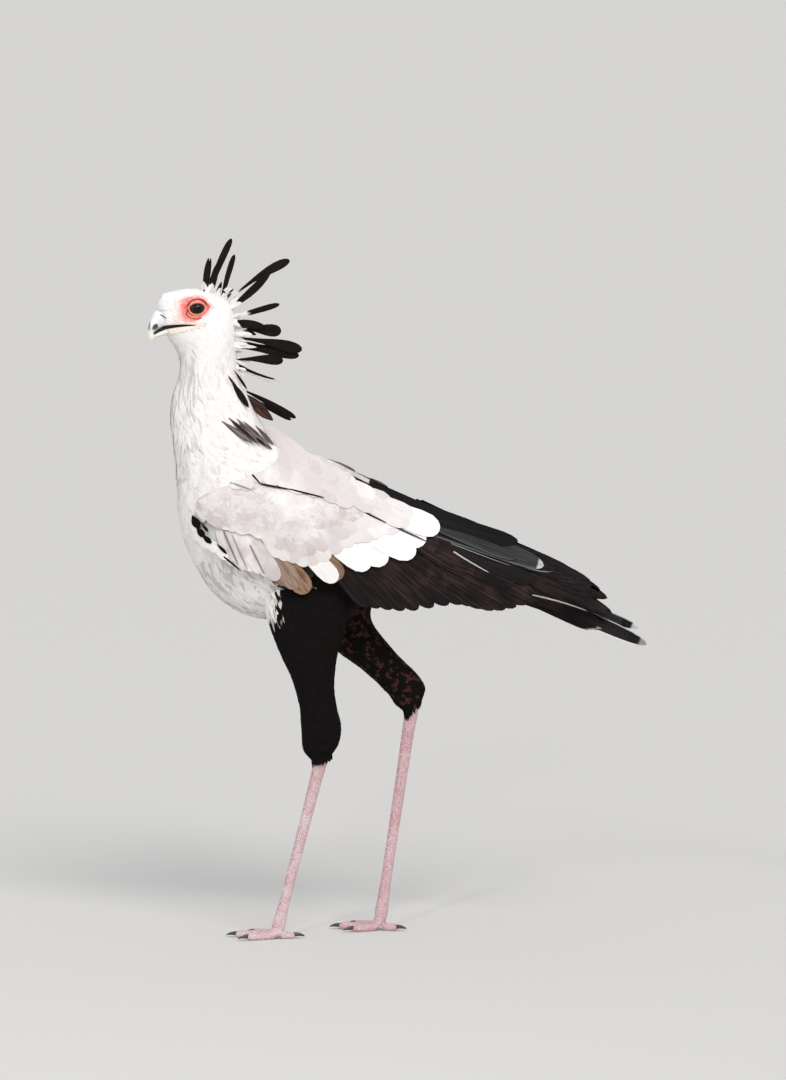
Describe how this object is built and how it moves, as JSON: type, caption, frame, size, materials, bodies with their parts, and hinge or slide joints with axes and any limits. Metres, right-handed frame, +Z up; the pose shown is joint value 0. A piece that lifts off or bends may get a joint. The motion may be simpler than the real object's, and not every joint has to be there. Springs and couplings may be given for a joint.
{
  "type": "secretary bird model",
  "caption": "Life-size still model of a secretary bird walking, with long legs, folded wings, raised nape crest and long tail.",
  "frame": {"origin": "on the floor, below the middle of the bird's bounding box", "axes": "+Z up, -X the way the bird faces, -Y the bird's left side"},
  "size_m": [0.7764, 0.1948, 1.091],
  "materials": {
    "white_plumage": "soft pale grey-white feathers",
    "grey_plumage": "pale covert feathers over black flight feathers",
    "black_plumage": "matt black feathers",
    "horn": "smooth blue-grey horn",
    "eye": "dark brown, wet and glossy",
    "bare_skin": "pink scaled skin, satin",
    "claw": "dark horn, satin"
  },
  "bodies": {
    "root": {"head": "white_plumage", "bill_upper": "horn", "bill_lower": "horn", "neck_upper": "white_plumage", "neck_lower": "white_plumage", "torso": "white_plumage", "tail": "black_plumage", "eye_left": "eye", "wing_left": "grey_plumage", "thigh_left": "black_plumage", "shank_left": "bare_skin", "foot_left": "bare_skin", "claw_left_middle": "claw", "claw_left_inner": "claw", "claw_left_outer": "claw", "claw_left_hind": "claw", "eye_right": "eye", "wing_right": "grey_plumage", "thigh_right": "black_plumage", "shank_right": "bare_skin", "foot_right": "bare_skin", "claw_right_middle": "claw", "claw_right_inner": "claw", "claw_right_outer": "claw", "claw_right_hind": "claw"}
  },
  "joints": []
}
